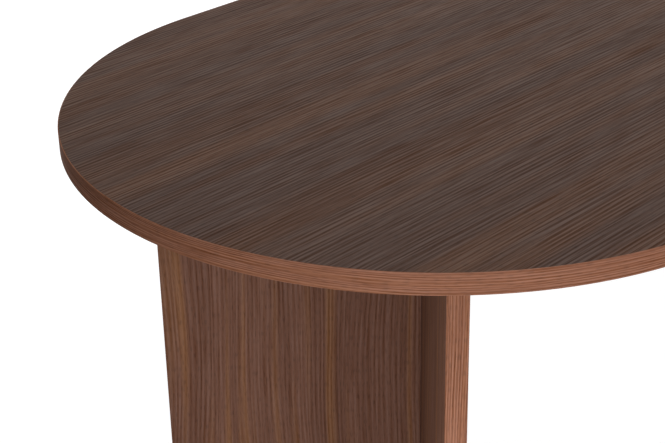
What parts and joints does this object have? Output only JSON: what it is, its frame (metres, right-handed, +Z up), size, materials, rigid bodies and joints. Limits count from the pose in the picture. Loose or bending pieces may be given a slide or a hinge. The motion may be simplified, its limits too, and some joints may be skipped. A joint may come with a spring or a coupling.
{
  "type": "dining table",
  "caption": "Racetrack dining table: wood-effect board top with round ends on V-shaped panel legs, held by cam connectors, with levelling feet.",
  "frame": {"origin": "on the floor under the middle of the top, with the feet screwed right in", "axes": "+X along the table, +Y across it, +Z up; the pictured leg is at the -X end"},
  "size_m": [1.7996, 0.9, 0.75],
  "materials": {
    "board_top": "satin",
    "board_leg": "satin",
    "edging_plastic": "satin",
    "zinc_cam": "satin",
    "steel_bolt": "satin",
    "beech_dowel": "matte",
    "cap_plastic": "matte",
    "steel_insert": "satin",
    "steel_stud": "satin",
    "pad_plastic": "matte"
  },
  "bodies": {
    "table": {"tabletop_board": "board_top", "tabletop_edging": "edging_plastic", "left_through_panel": "board_leg", "left_butt_panel": "board_leg", "left_through_end_edging": "edging_plastic", "left_butt_end_edging": "edging_plastic", "left_apex_edging": "edging_plastic", "left_through_base_edging": "edging_plastic", "left_butt_base_edging": "edging_plastic", "left_corner_cams": "zinc_cam", "left_corner_bolts": "steel_bolt", "left_corner_dowels": "beech_dowel", "left_top_cams": "zinc_cam", "left_top_bolts": "steel_bolt", "left_top_dowels": "beech_dowel", "left_cam_caps": "cap_plastic", "left_foot_inserts": "steel_insert", "right_through_panel": "board_leg", "right_butt_panel": "board_leg", "right_through_end_edging": "edging_plastic", "right_butt_end_edging": "edging_plastic", "right_apex_edging": "edging_plastic", "right_through_base_edging": "edging_plastic", "right_butt_base_edging": "edging_plastic", "right_corner_cams": "zinc_cam", "right_corner_bolts": "steel_bolt", "right_corner_dowels": "beech_dowel", "right_top_cams": "zinc_cam", "right_top_bolts": "steel_bolt", "right_top_dowels": "beech_dowel", "right_cam_caps": "cap_plastic", "right_foot_inserts": "steel_insert"},
    "left_apex_foot": {"left_apex_foot_stud": "steel_stud", "left_apex_foot_pad": "pad_plastic"},
    "left_through_foot": {"left_through_foot_stud": "steel_stud", "left_through_foot_pad": "pad_plastic"},
    "left_butt_foot": {"left_butt_foot_stud": "steel_stud", "left_butt_foot_pad": "pad_plastic"},
    "right_apex_foot": {"right_apex_foot_stud": "steel_stud", "right_apex_foot_pad": "pad_plastic"},
    "right_through_foot": {"right_through_foot_stud": "steel_stud", "right_through_foot_pad": "pad_plastic"},
    "right_butt_foot": {"right_butt_foot_stud": "steel_stud", "right_butt_foot_pad": "pad_plastic"}
  },
  "joints": [
    {"name": "left_apex_foot_travel", "type": "slide", "parent": "table", "child": "left_apex_foot", "axis": [0, 0, -1], "range_m": [0, 0.01]},
    {"name": "left_through_foot_travel", "type": "slide", "parent": "table", "child": "left_through_foot", "axis": [0, 0, -1], "range_m": [0, 0.01]},
    {"name": "left_butt_foot_travel", "type": "slide", "parent": "table", "child": "left_butt_foot", "axis": [0, 0, -1], "range_m": [0, 0.01]},
    {"name": "right_apex_foot_travel", "type": "slide", "parent": "table", "child": "right_apex_foot", "axis": [0, 0, -1], "range_m": [0, 0.01]},
    {"name": "right_through_foot_travel", "type": "slide", "parent": "table", "child": "right_through_foot", "axis": [0, 0, -1], "range_m": [0, 0.01]},
    {"name": "right_butt_foot_travel", "type": "slide", "parent": "table", "child": "right_butt_foot", "axis": [0, 0, -1], "range_m": [0, 0.01]}
  ]
}
